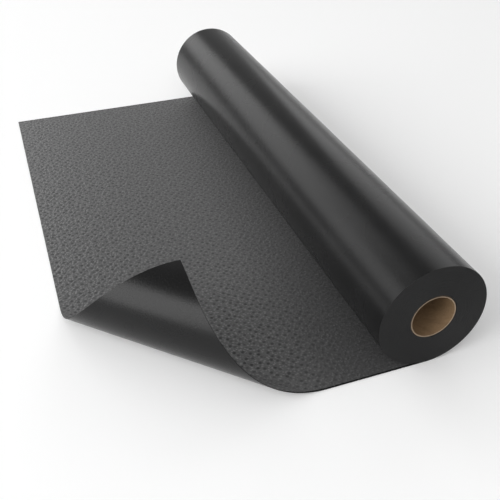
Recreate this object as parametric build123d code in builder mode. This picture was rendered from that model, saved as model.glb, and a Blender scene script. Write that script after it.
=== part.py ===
"""Roll of PVC roofing membrane on a cardboard core, part unrolled, with one corner of its loose end curled up.

Millimetres, +Z up. The origin is on the floor, in the middle of the object's footprint. The roll lies with its
axis along Y and its near end at -Y. The sheet leaves the bottom of the roll and lies flat on the floor towards
-X, with its embossed face up and its smooth face down, so the smooth face is also the outside of the roll.
The near corner of the loose end curls up and over, rolled about a line at 45 degrees to both cut edges.
"""

import os
from math import degrees, radians, sqrt

from build123d import *

# The sheet and the roll
sheet_thickness = 1.2
sheet_width = 1200.0
roll_diameter = 196.0
loose_length = 555.0

# The cardboard core
core_bore_diameter = 77.0
core_wall = 3.0
core_fit_gap = 0.1

# The joints between turns that show as fine rings on the ends: one in so many turns
turns_per_ring = 4
ring_width = 0.5
ring_depth = 0.8

# The curled corner: how far along each edge it starts, and how the middle of the sheet bends
corner_setback = 377.0
tight_bend_radius = 80.0
tight_bend_turn = 92.0
slack_bend_radius = 86.5
tip_width = 2.0
curl_stations = 20

# What follows from them
roll_radius = roll_diameter / 2
core_radius = core_bore_diameter / 2 + core_wall
winding_bore_radius = core_radius + core_fit_gap
near_end = -sheet_width / 2
far_end = sheet_width / 2
roll_x = (loose_length - roll_radius) / 2
cut_end_x = roll_x - loose_length
roll_axis = Axis((roll_x, near_end, roll_radius), (0, 1, 0))

# The curl is a strip that bends in the upright plane through the corner, square to the roll-up line.
# Its length is the distance from that line to the corner, and it narrows evenly to the corner.
to_corner = Vector(-1, -1, 0).normalized()
roll_up_line = Vector(1, -1, 0).normalized()
start_width = corner_setback * sqrt(2)
curl_length = corner_setback / sqrt(2)
slack_length = curl_length - radians(tight_bend_turn) * tight_bend_radius
slack_bend_turn = degrees(slack_length / slack_bend_radius)
blank_thickness = 3 * sheet_thickness
start_middle = Vector(cut_end_x + corner_setback / 2, near_end + corner_setback / 2, sheet_thickness / 2)
bend_plane = Plane(origin=start_middle, x_dir=to_corner, z_dir=-roll_up_line)


def ring_radii():
    """Radii of the turn joints that show, from the core outwards, all inside the outermost turn."""
    pitch = turns_per_ring * sheet_thickness
    outermost = roll_radius - 2 * sheet_thickness
    count = int((outermost - winding_bore_radius) / pitch)
    return [winding_bore_radius + pitch * (k + 1) for k in range(count)]


# The curled corner: the sheet bent in two arcs, as wide as the roll-up line is long, then trimmed to its two cut
# edges. Those are straight on the flat sheet, so the thicker blank that trims it narrows evenly along the bend.
with BuildPart() as curl:
    with BuildSketch(bend_plane) as bent_section:
        with BuildLine() as bend:
            tight_bend = JernArc((0, 0), (1, 0), tight_bend_radius, tight_bend_turn)
            slack_bend = JernArc(tight_bend @ 1, tight_bend % 1, slack_bend_radius, slack_bend_turn)
        trace(line_width=sheet_thickness)
    extrude(amount=start_width / 2, both=True)

    path = bend_plane.from_local_coords(bend.wire())
    last_share = 1 - tip_width / start_width
    for station in range(curl_stations + 1):
        share = last_share * station / curl_stations
        across = Plane(origin=path @ share, x_dir=roll_up_line, z_dir=path % share)
        with BuildSketch(across):
            Rectangle(start_width * (1 - share), blank_thickness)
    loft(mode=Mode.INTERSECT)

# The membrane: the wound turns, the flat loose end and the curled corner, all one sheet.
with BuildPart() as membrane:
    # Two half-turns whose diameters differ by one thickness, so the turn beneath meets the top of the sheet
    with BuildSketch(Plane.XZ.offset(-far_end)) as section:
        with BuildLine() as outline:
            rising_half = CenterArc((roll_x, roll_radius), roll_radius, -90, 180)
            falling_half = CenterArc(
                (roll_x, roll_radius + sheet_thickness / 2), roll_radius - sheet_thickness / 2, 90, 180
            )
            Polyline(falling_half @ 1, (cut_end_x, sheet_thickness), (cut_end_x, 0), rising_half @ 0)
        make_face()
        with Locations((roll_x, roll_radius)):
            Circle(winding_bore_radius, mode=Mode.SUBTRACT)
    extrude(amount=sheet_width)

    # Fine rings on both ends, where one turn meets the next
    with BuildSketch(Plane.YZ.offset(roll_x)) as turn_joints:
        for radius in ring_radii():
            height = roll_radius + radius
            for end, inward in ((near_end, 1), (far_end, -1)):
                with BuildLine():
                    Polyline(
                        (end, height - ring_width / 2),
                        (end, height + ring_width / 2),
                        (end + inward * ring_depth, height),
                        close=True,
                    )
                make_face()
    revolve(axis=roll_axis, mode=Mode.SUBTRACT)

    # The near corner of the loose end leaves the floor and curls
    with BuildSketch(Plane.XY) as lifted_corner:
        with BuildLine():
            Polyline(
                (cut_end_x, near_end),
                (cut_end_x + corner_setback, near_end),
                (cut_end_x, near_end + corner_setback),
                close=True,
            )
        make_face()
    extrude(amount=sheet_thickness, mode=Mode.SUBTRACT)
    add(curl.part)

# The core: a plain paper tube, cut flush with the ends of the roll.
with BuildPart() as core_tube:
    with BuildSketch(Plane.XZ.offset(-far_end)) as core_section:
        with Locations((roll_x, roll_radius)):
            Circle(core_radius)
            Circle(core_bore_diameter / 2, mode=Mode.SUBTRACT)
    extrude(amount=sheet_width)

os.makedirs("parts", exist_ok=True)
for piece, label in ((membrane, "membrane"), (core_tube, "core_tube")):
    piece.part.label = label
    export_step(piece.part, f"parts/{label}.step")
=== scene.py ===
"""Roll of PVC roofing membrane, part unrolled, with one corner of its loose end curled up: its finished look.

Everything is in metres, in the frame of the CAD part. The floor is z = 0, the roll's axis runs along Y and
the loose end lies towards -X.
"""
from math import cos, pi, radians, sin, sqrt, tan

import bmesh
import bpy
from mathutils import Matrix, Vector, noise


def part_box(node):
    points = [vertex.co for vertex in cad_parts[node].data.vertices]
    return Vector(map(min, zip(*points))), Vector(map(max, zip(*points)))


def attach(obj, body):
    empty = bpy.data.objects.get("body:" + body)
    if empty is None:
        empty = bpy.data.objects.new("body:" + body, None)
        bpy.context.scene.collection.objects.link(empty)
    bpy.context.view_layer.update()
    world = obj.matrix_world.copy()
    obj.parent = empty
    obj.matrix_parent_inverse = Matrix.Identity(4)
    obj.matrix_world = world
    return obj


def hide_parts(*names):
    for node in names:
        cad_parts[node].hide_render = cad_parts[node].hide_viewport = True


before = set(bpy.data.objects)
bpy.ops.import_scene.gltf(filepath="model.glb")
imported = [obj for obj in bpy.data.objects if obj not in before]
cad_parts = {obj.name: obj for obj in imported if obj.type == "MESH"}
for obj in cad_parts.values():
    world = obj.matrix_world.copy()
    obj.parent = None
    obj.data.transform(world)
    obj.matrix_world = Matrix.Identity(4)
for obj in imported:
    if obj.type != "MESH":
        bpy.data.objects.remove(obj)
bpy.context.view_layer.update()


# The sheet. One length of membrane from two plies: a dark grey one with an embossed face, its top once laid,
# and a smooth black one beneath. It is wound on its core from the inside out with the black face outwards,
# and what is unrolled lies flat, all but one corner, which still has the curl of the roll.
core_low, core_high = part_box("core_tube")
sheet_thickness = 0.0012
core_radius = (core_high.x - core_low.x) / 2
roll_x = (core_high.x + core_low.x) / 2
roll_z = (core_high.z + core_low.z) / 2
roll_radius = roll_z
near_side = core_low.y
far_side = core_high.y
loose_length = 0.555
turns = round((roll_radius - core_radius) / sheet_thickness) - 1
wound_length = pi * turns * (2 * roll_radius - sheet_thickness * turns)
wound_strips = 4400

# The turns don't stand quite in line on the ends: how far out one can be, and how fast that changes by turn
turn_shift = 0.00025
shift_rate = 1.3
shift_seed = 4.7

# The roll-up line lies at 45 degrees to both cut edges. Past it the sheet bends in two arcs, a tight one and
# a slacker one, and the corner itself ends up over the line again.
corner_setback = 0.377
tight_radius = 0.080
tight_turn = radians(92)
slack_radius = 0.0865
curl_strips = 56
strips_before_line = 4
to_corner = Vector((-1, -1, 0)).normalized()
line_middle = Vector((corner_setback / 2, near_side + corner_setback / 2, 0))
curl_length = corner_setback / sqrt(2)

# It is made flat, lying smooth face down, with its run from the cut end along X and its width along Y. Its
# cross-section has small chamfers where the blade cut it.
chamfer_height = 0.00015
chamfer_width = 0.00035
sheet = bmesh.new()
section_points = (
    (near_side + chamfer_width, 0),
    (far_side - chamfer_width, 0),
    (far_side, chamfer_height),
    (far_side, sheet_thickness - chamfer_height),
    (far_side - chamfer_width, sheet_thickness),
    (near_side + chamfer_width, sheet_thickness),
    (near_side, sheet_thickness - chamfer_height),
    (near_side, chamfer_height),
)
section = [sheet.verts.new((0, y, z)) for y, z in section_points]
cut_end = [sheet.edges.new((section[k - 1], section[k])) for k in range(len(section))]
bmesh.ops.contextual_create(sheet, geom=cut_end)


def drawn_out(edges, length):
    """Draws the sheet out along its run from these edges, and gives the edges of its new end."""
    made = bmesh.ops.extrude_edge_only(sheet, edges=edges)["geom"]
    new_verts = {item for item in made if isinstance(item, bmesh.types.BMVert)}
    bmesh.ops.translate(sheet, verts=list(new_verts), vec=(length, 0, 0))
    new_edges = [item for item in made if isinstance(item, bmesh.types.BMEdge)]
    return [edge for edge in new_edges if new_verts.issuperset(edge.verts)]


# The loose end is cut into strips along the roll-up line, and the wound length into strips across
roll_line = drawn_out(cut_end, loose_length)
for cut in range(-strips_before_line, curl_strips):
    loose_end = sheet.verts[:] + sheet.edges[:] + sheet.faces[:]
    line = line_middle + to_corner * curl_length * cut / curl_strips
    bmesh.ops.bisect_plane(sheet, geom=loose_end, plane_co=line, plane_no=to_corner, dist=1e-7)
inner_end = drawn_out(roll_line, wound_length)
bmesh.ops.contextual_create(sheet, geom=inner_end)
long_edges = [edge for edge in sheet.edges if edge.calc_length() > wound_length / 2]
bmesh.ops.subdivide_edges(sheet, edges=long_edges, cuts=wound_strips - 1, use_grid_fill=True)

# So many cuts in a row add up small errors of rounding, so each cut is set exactly in its place
hair = 0.000001
strip_length = wound_length / wound_strips
for vert in sheet.verts:
    if vert.co.x > loose_length + hair:
        vert.co.x = loose_length + strip_length * round((vert.co.x - loose_length) / strip_length)


def curled(place):
    """Where a point of the flat sheet goes when the corner past the roll-up line curls over."""
    past_line = (place - line_middle).dot(to_corner)
    if past_line <= 0:
        return place
    foot = place - to_corner * past_line
    height = foot.z - sheet_thickness / 2
    tight = min(past_line / tight_radius, tight_turn)
    out = tight_radius * sin(tight)
    up = tight_radius * (1 - cos(tight))
    slack = max(past_line - tight_turn * tight_radius, 0) / slack_radius
    out += slack_radius * (sin(tight + slack) - sin(tight))
    up += slack_radius * (cos(tight) - cos(tight + slack))
    turned = tight + slack
    out -= height * sin(turned)
    up += height * cos(turned)
    return Vector((foot.x, foot.y, 0)) + to_corner * out + Vector((0, 0, sheet_thickness / 2 + up))


def wound(place):
    """Where a point of the flat sheet goes when it is wound on the core, each turn a thickness further in."""
    past_line = place.x - loose_length
    turn = (roll_radius - sqrt(roll_radius**2 - sheet_thickness * past_line / pi)) / sheet_thickness
    radius = roll_radius - sheet_thickness * turn - place.z
    shift = turn_shift * min(turn, 1) * noise.noise((turn * shift_rate, 0, shift_seed))
    around = 2 * pi * turn
    return Vector((loose_length + radius * sin(around), place.y + shift, roll_z - radius * cos(around)))


# Each point keeps its place on the flat sheet for the materials, and then the sheet is bent into its shape
flat_place = sheet.verts.layers.float_vector.new("flat_place")
for vert in sheet.verts:
    vert[flat_place] = vert.co
    vert.co = curled(vert.co) if vert.co.x < loose_length + hair else wound(vert.co)
bmesh.ops.translate(sheet, verts=sheet.verts, vec=(roll_x - loose_length, 0, 0))
bmesh.ops.recalc_face_normals(sheet, faces=sheet.faces)

# The three finishes, in the order in which the materials go on: a face belongs to the side it lies wholly in
smooth_side, embossed_side, cut_edge = range(3)
for face in sheet.faces:
    depths = [vert[flat_place].z for vert in face.verts]
    face.smooth = True
    if max(depths) < hair:
        face.material_index = smooth_side
    elif min(depths) > sheet_thickness - hair:
        face.material_index = embossed_side
    else:
        face.material_index = cut_edge
for edge in sheet.edges:
    edge.smooth = edge.calc_face_angle(0) < radians(15)

mesh = bpy.data.meshes.new("membrane_sheet")
sheet.to_mesh(mesh)
sheet.free()
membrane = bpy.data.objects.new("membrane_sheet", mesh)
bpy.context.scene.collection.objects.link(membrane)
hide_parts("membrane")
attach(membrane, "root")


class Thread:
    """A value on its way through a material's nodes, so that shader maths reads as plain expressions."""

    def __init__(self, tree, socket=None):
        self.tree = tree
        self.socket = socket

    def node(self, kind, settings=None, inputs=None, output=0):
        """A new node of this kind, its settings set first, then its sockets, as the thread of one output."""
        made = self.tree.nodes.new(kind)
        for name, value in (settings or {}).items():
            setattr(made, name, value)
        for key, value in (inputs or {}).items():
            if isinstance(value, Thread):
                self.tree.links.new(value.socket, made.inputs[key])
            else:
                made.inputs[key].default_value = value
        return Thread(self.tree, made.outputs[output])

    def math(self, operation, *values):
        return self.node("ShaderNodeMath", {"operation": operation}, dict(enumerate(values)))

    def __add__(self, other):
        return self.math("ADD", self, other)

    def __radd__(self, other):
        return self.math("ADD", other, self)

    def __sub__(self, other):
        return self.math("SUBTRACT", self, other)

    def __rsub__(self, other):
        return self.math("SUBTRACT", other, self)

    def __mul__(self, other):
        return self.math("MULTIPLY", self, other)

    def __rmul__(self, other):
        return self.math("MULTIPLY", other, self)

    def __truediv__(self, other):
        return self.math("DIVIDE", self, other)

    def __rtruediv__(self, other):
        return self.math("DIVIDE", other, self)

    def step(self, low, high):
        """0 below low and 1 above high, smooth between."""
        inputs = {"Value": self, "From Min": low, "From Max": high}
        return self.node("ShaderNodeMapRange", {"interpolation_type": "SMOOTHSTEP"}, inputs)

    def blend(self, low_color, high_color):
        """A colour from low_color, where this value is 0, to high_color, where it is 1."""
        return self.node("ShaderNodeMix", {"data_type": "RGBA"}, {0: self, 6: low_color, 7: high_color}, 2)

    def relief(self):
        """The surface with this value as its height in metres."""
        return self.node("ShaderNodeBump", None, {"Height": self, "Distance": 1.0, "Strength": 1.0})

    def along(self, axis):
        """How far along an axis this place lies: 0 is X, 1 is Y and 2 is Z."""
        return self.node("ShaderNodeSeparateXYZ", None, {"Vector": self}, axis)

    def noise(self, scale, detail):
        """Uneven noise over this place, with scale spots to a metre."""
        return self.node("ShaderNodeTexNoise", None, {"Vector": self, "Scale": scale, "Detail": detail})

    def cells(self, spacing, randomness, output=0):
        """How far this place is from the middle of the nearest of many spots, in spacings, or as output 1
        a colour of each spot's own."""
        inputs = {"Vector": self, "Scale": 1 / spacing, "Randomness": randomness}
        return self.node("ShaderNodeTexVoronoi", {"voronoi_dimensions": "2D"}, inputs, output)


def finish(name):
    """A new material with its shader and the start of a thread in it."""
    material = bpy.data.materials.new(name)
    material.use_nodes = True
    shader = material.node_tree.nodes["Principled BSDF"]
    return material, shader, Thread(material.node_tree)


def connect(shader, **threads):
    """Links threads to the shader's sockets, by name."""
    for name, thread in threads.items():
        thread.tree.links.new(thread.socket, shader.inputs[name.replace("_", " ").title()])


# The smooth face: black, calendered against a polished roller, with a satin sheen. A very fine grain and a
# cloudy variation of the finish stay from the roller.
grain_height = 0.00016
smooth_black, shader, start = finish("smooth_black_face")
shader.inputs["IOR"].default_value = 1.32
place = start.node("ShaderNodeAttribute", {"attribute_name": "flat_place"}, output=1)
grain = place.noise(420, 3)
cloud = place.noise(9, 2)
speckle = (grain * 0.7 + cloud * 0.3).step(0.36, 0.64)
shade = speckle.blend((0.0038, 0.0038, 0.0039, 1), (0.0092, 0.0092, 0.0094, 1))
bump = (grain * grain_height).relief()
connect(shader, base_color=shade, roughness=0.24 + cloud * 0.06, normal=bump)
membrane.data.materials.append(smooth_black)

# The embossed face: dark grey, with a pale bloom that shows at low angles. A pattern roller presses shallow
# pits into it, in uneven rows at 45 degrees to the sides, with smaller pores between. The finer raised specks
# are rubbed shiny and painted a lighter grey, partly a painted highlight; the pits are dull. Along both
# trimmed sides runs a painted shade: a line of black painted over the edge.
pit_spacing = 0.0128
pore_spacing = 0.0072
speck_spacing = 0.0060
pit_depth = 0.0005
speck_height = 0.00022
painted_edge_shade_width = 0.0018
painted_edge_shade_fade = 0.0010
embossed_grey, shader, start = finish("embossed_grey_face")
place = start.node("ShaderNodeAttribute", {"attribute_name": "flat_place"}, output=1)
rows = start.node("ShaderNodeMapping", None, {"Vector": place, "Rotation": (0, 0, radians(45))})
from_pit = rows.cells(pit_spacing, 0.54)
pit_color = rows.cells(pit_spacing, 0.54, output=1)
from_pore = rows.cells(pore_spacing, 0.9)
from_speck = rows.cells(speck_spacing, 0.9)
pressed = start.node("ShaderNodeSeparateColor", None, {"Color": pit_color}, 0)
deep_pit = (1 - from_pit.step(0.10, 0.46)) * (0.75 + 0.25 * pressed)
pore = (1 - from_pore.step(0.10, 0.42)) * 0.6
pit = start.math("MAXIMUM", deep_pit, pore)
speck = 1 - from_speck.step(0.08, 0.46)
bump = (speck_height * speck - pit_depth * pit).relief()
# The specks' lighter grey is partly a painted highlight; their gloss and bump are real
grey = speck.blend((0.0120, 0.0120, 0.0123, 1), (0.0350, 0.0350, 0.0357, 1))
connect(shader, base_color=grey, roughness=0.37 - speck * 0.04, normal=bump)
bloom = {"Sheen Weight": 0.20, "Sheen Roughness": 0.6}
shader.inputs["IOR"].default_value = 2.13
for socket, value in bloom.items():
    shader.inputs[socket].default_value = value
no_gloss = {"Roughness": 0.9, "Specular IOR Level": 0.0}
matte_inputs = {"Base Color": (0.0308, 0.0308, 0.0314, 1), "Normal": bump} | no_gloss | bloom
matte = start.node("ShaderNodeBsdfPrincipled", None, matte_inputs)
# A black shader for the painted shade along both sides of the sheet
painted_edge_shade_inputs = {"Base Color": (0.003, 0.003, 0.0031, 1)} | no_gloss
painted_edge_shade = start.node("ShaderNodeBsdfPrincipled", None, painted_edge_shade_inputs)
glossy = Thread(start.tree, shader.outputs[0])
dull = start.math("MAXIMUM", pit, (1 - speck) * 0.48)
from_side = far_side - start.math("ABSOLUTE", place.along(1))
# Where the painted edge shade lies: a narrow band along both sides
painted_edge_shade_mask = 1 - from_side.step(painted_edge_shade_width, painted_edge_shade_width + painted_edge_shade_fade)
face = start.node("ShaderNodeMixShader", None, {0: dull, 1: glossy, 2: matte})
edged = start.node("ShaderNodeMixShader", None, {0: painted_edge_shade_mask, 1: face, 2: painted_edge_shade})
connect(embossed_grey.node_tree.nodes["Material Output"], surface=edged)
membrane.data.materials.append(embossed_grey)

# The cut edges: both plies show, black below and dark grey above, a little rough from the blade
blade_mark_height = 0.00005
cut_plies, shader, start = finish("cut_plies")
shader.inputs["Specular IOR Level"].default_value = 0.35
place = start.node("ShaderNodeAttribute", {"attribute_name": "flat_place"}, output=1)
ply = place.along(2).step(sheet_thickness * 0.50, sheet_thickness * 0.58)
shade = ply.blend((0.005, 0.005, 0.0052, 1), (0.013, 0.013, 0.0133, 1))
blade = place.noise(1600, 2)
bump = (blade * blade_mark_height).relief()
connect(shader, base_color=shade, roughness=0.62 + blade * 0.1, normal=bump)
membrane.data.materials.append(cut_plies)


# The core. A tube of kraft board, wound in a spiral from several plies of brown paper, glued, and cut flush
# with the roll. Its inner ply's joint runs round the bore as a fine helical line, and the rim shows the
# plies, the outermost ones darker towards the outer edge.
board_wall = 0.0030
rim_round = 0.0003
core_steps = 144
bore_radius = core_radius - board_wall
tube = bmesh.new()
rim_points = (
    (bore_radius, near_side),
    (core_radius, near_side),
    (core_radius, far_side),
    (bore_radius, far_side),
)
rim = [tube.verts.new((roll_x + radius, y, roll_z)) for radius, y in rim_points]
rim_edges = [tube.edges.new((rim[k], rim[(k + 1) % 4])) for k in range(4)]
bmesh.ops.spin(
    tube,
    geom=rim + rim_edges,
    cent=(roll_x, 0, roll_z),
    axis=(0, 1, 0),
    angle=2 * pi,
    steps=core_steps,
    use_merge=True,
    use_normal_flip=False,
    use_duplicate=False,
)
bmesh.ops.recalc_face_normals(tube, faces=tube.faces)
rim_circles = [edge for edge in tube.edges if edge.calc_face_angle(0) > radians(60)]
bmesh.ops.bevel(
    tube,
    geom=rim_circles,
    offset=rim_round,
    segments=2,
    profile=0.5,
    affect="EDGES",
    material=-1,
)
for face in tube.faces:
    face.smooth = True
for edge in tube.edges:
    edge.smooth = edge.calc_face_angle(0) < radians(25)
mesh = bpy.data.meshes.new("core_board_tube")
tube.to_mesh(mesh)
tube.free()
core = bpy.data.objects.new("core_board_tube", mesh)
bpy.context.scene.collection.objects.link(core)
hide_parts("core_tube")
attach(core, "root")

# The paper: long fibres, small specks, the inner ply's helical joint, and on the rim one ring to each ply
paper_strip = 0.13
ply_thickness = 0.0005
dark_band_width = 0.0008
dark_band_fade = 0.0005
rim_width = 0.0001
rim_fade = 0.0005
fibre_height = 0.00008
paper_speck_height = 0.00005
joint_depth = 0.0002
ply_height = 0.00005
kraft_board, shader, start = finish("kraft_board")
shader.inputs["Specular IOR Level"].default_value = 0.25
place = start.node("ShaderNodeTexCoord", output="Object")
x = place.along(0) - roll_x
y = place.along(1)
z = place.along(2) - roll_z
around = start.math("ARCTAN2", z, x) / (2 * pi)
out = start.math("SQRT", x * x + z * z)
helix = start.math("FRACT", y / paper_strip + around + 10)
from_middle = start.math("ABSOLUTE", helix - 0.5)
joint = from_middle.step(0.488, 0.497)
fibre_inputs = {"X": around * 0.25, "Y": y * 3.0 + around * 0.9, "Z": out * 8.0}
fibres = start.node("ShaderNodeCombineXYZ", None, fibre_inputs).noise(40, 5)
specks = place.noise(260, 3)
ply_ring = start.math("SINE", out * (2 * pi / ply_thickness))
on_rim = start.math("ABSOLUTE", y).step(far_side - rim_width - rim_fade, far_side - rim_width)
tone = fibres * 0.3 + specks * 0.3 + 0.2 - joint * 0.3
paper = tone.step(0.0, 1.0).blend((0.080, 0.048, 0.023, 1), (0.290, 0.190, 0.106, 1))
rim_tone = (ply_ring * 0.25 + specks * 0.8).step(0.1, 0.9)
plies = rim_tone.blend((0.26, 0.19, 0.13, 1), (0.40, 0.31, 0.22, 1))
# The rim turns dark near its outer edge, next to the membrane
dark_outer_band = out.step(core_radius - dark_band_width - dark_band_fade, core_radius - dark_band_width)
rim_paper = dark_outer_band.blend(plies, (0.030, 0.024, 0.020, 1))
shade = on_rim.blend(paper, rim_paper)
grown = fibres * fibre_height + specks * paper_speck_height
height = grown - joint * joint_depth + ply_ring * on_rim * ply_height
connect(shader, base_color=shade, roughness=0.72 + specks * 0.16, normal=height.relief())
core.data.materials.append(kraft_board)


# The studio. A plain pale floor, a wide soft light low behind and to the left, a tall one behind to the
# right, a small one higher between them, a strong one on the left and a broad one over the camera. All are
# far enough off to light the whole roll alike.
floor_size = 60
floor_gap = 0.0004
white_lift = 0.09
bpy.ops.mesh.primitive_plane_add(size=floor_size, location=(0, 0, -floor_gap))
floor = bpy.context.object
floor.name = "studio_floor"
pale_floor, shader, start = finish("pale_floor")
shader.inputs["Base Color"].default_value = (0.90, 0.90, 0.90, 1)
shader.inputs["Roughness"].default_value = 1.0
shader.inputs["Specular IOR Level"].default_value = 0.0
shader.inputs["Emission Strength"].default_value = 1.0
camera_ray = start.node("ShaderNodeLightPath", output="Is Camera Ray")
glossy_ray = start.node("ShaderNodeLightPath", output="Is Glossy Ray")
clear_ray = start.node("ShaderNodeLightPath", output="Is Transmission Ray")
seen = start.math("MAXIMUM", start.math("MAXIMUM", camera_ray, glossy_ray), clear_ray)
connect(shader, emission_color=seen * white_lift)
floor.data.materials.append(pale_floor)

light_distance = 10


def softbox(name, azimuth, elevation, width, height, radiance):
    """A flat soft light seen from the roll in that direction, as wide and high in degrees as given.
    Azimuth 0 is along +Y and 90 along +X."""
    light = bpy.data.lights.new(name, "AREA")
    light.shape = "RECTANGLE"
    light.size = 2 * light_distance * tan(radians(width / 2))
    light.size_y = 2 * light_distance * tan(radians(height / 2))
    light.energy = radiance * pi * light.size * light.size_y
    lamp = bpy.data.objects.new(name, light)
    flat = cos(radians(elevation))
    direction = Vector((sin(radians(azimuth)) * flat, cos(radians(azimuth)) * flat, sin(radians(elevation))))
    lamp.location = direction * light_distance
    lamp.rotation_euler = direction.to_track_quat("Z", "Y").to_euler()
    lamp.visible_camera = False
    bpy.context.scene.collection.objects.link(lamp)


softbox("back_left_softbox", -36, 24, 61, 23, 1.85)
softbox("back_right_softbox", 41, 28, 28, 34, 1.1)
softbox("back_high_softbox", -16, 39, 20, 16, 1.15)
softbox("left_softbox", -97, 23, 45, 42, 4.2)
softbox("front_softbox", -150, 45, 56, 32, 1.6)

world = bpy.data.worlds.new("studio_air")
bpy.context.scene.world = world
world.use_nodes = True
world.node_tree.nodes["Background"].inputs["Color"].default_value = (0.38, 0.38, 0.38, 1)

# The camera stands at the near end, a little to the left of the loose end's cut edge, and looks down
camera_place = Vector((-0.3343, -1.3018, 0.8351))
camera_turn = radians(-19.81)
camera_tilt = radians(-35.37)
camera_roll = radians(-0.34)
lens = bpy.data.cameras.new("camera")
lens.sensor_width = 36
lens.lens = 50.71
camera = bpy.data.objects.new("camera", lens)
camera.matrix_world = (
    Matrix.Translation(camera_place)
    @ Matrix.Rotation(camera_turn, 4, "Z")
    @ Matrix.Rotation(radians(90) + camera_tilt, 4, "X")
    @ Matrix.Rotation(camera_roll, 4, "Z")
)
bpy.context.scene.collection.objects.link(camera)
bpy.context.scene.camera = camera
bpy.context.scene.view_settings.view_transform = "Standard"
